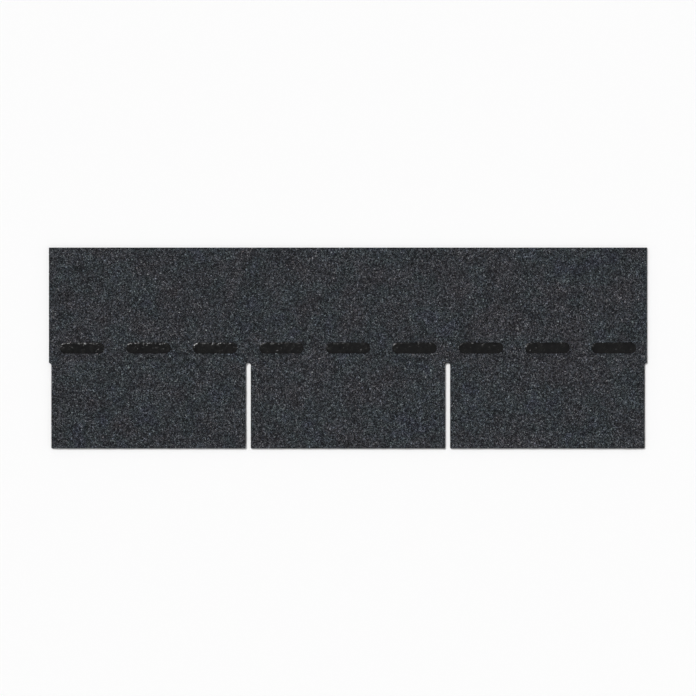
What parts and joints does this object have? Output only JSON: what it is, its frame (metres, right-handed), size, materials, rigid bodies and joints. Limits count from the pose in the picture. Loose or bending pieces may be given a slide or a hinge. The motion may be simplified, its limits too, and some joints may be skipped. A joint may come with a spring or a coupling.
{
  "type": "three-tab asphalt roofing shingle",
  "caption": "Flat granule-faced bitumen roofing strip, cut into tabs by round-topped slots, with a dashed heat-seal line and release film on the back.",
  "frame": {"origin": "under the middle of the strip, on the plane that its back rests on", "axes": "+X along the course, +Y up the roof slope from the tabs' butt edge to the top edge, +Z out of the roof, from the back to the granule face"},
  "size_m": [1, 0.336, 0.004],
  "materials": {
    "granule_faced_bitumen": "matte",
    "sealing_bitumen": "gloss",
    "release_film": "satin"
  },
  "bodies": {
    "root": {"shingle_strip": "granule_faced_bitumen", "release_film": "release_film", "seal_dash_1": "sealing_bitumen", "seal_dash_2": "sealing_bitumen", "seal_dash_3": "sealing_bitumen", "seal_dash_4": "sealing_bitumen", "seal_dash_5": "sealing_bitumen", "seal_dash_6": "sealing_bitumen", "seal_dash_7": "sealing_bitumen", "seal_dash_8": "sealing_bitumen", "seal_dash_9": "sealing_bitumen"}
  },
  "joints": []
}
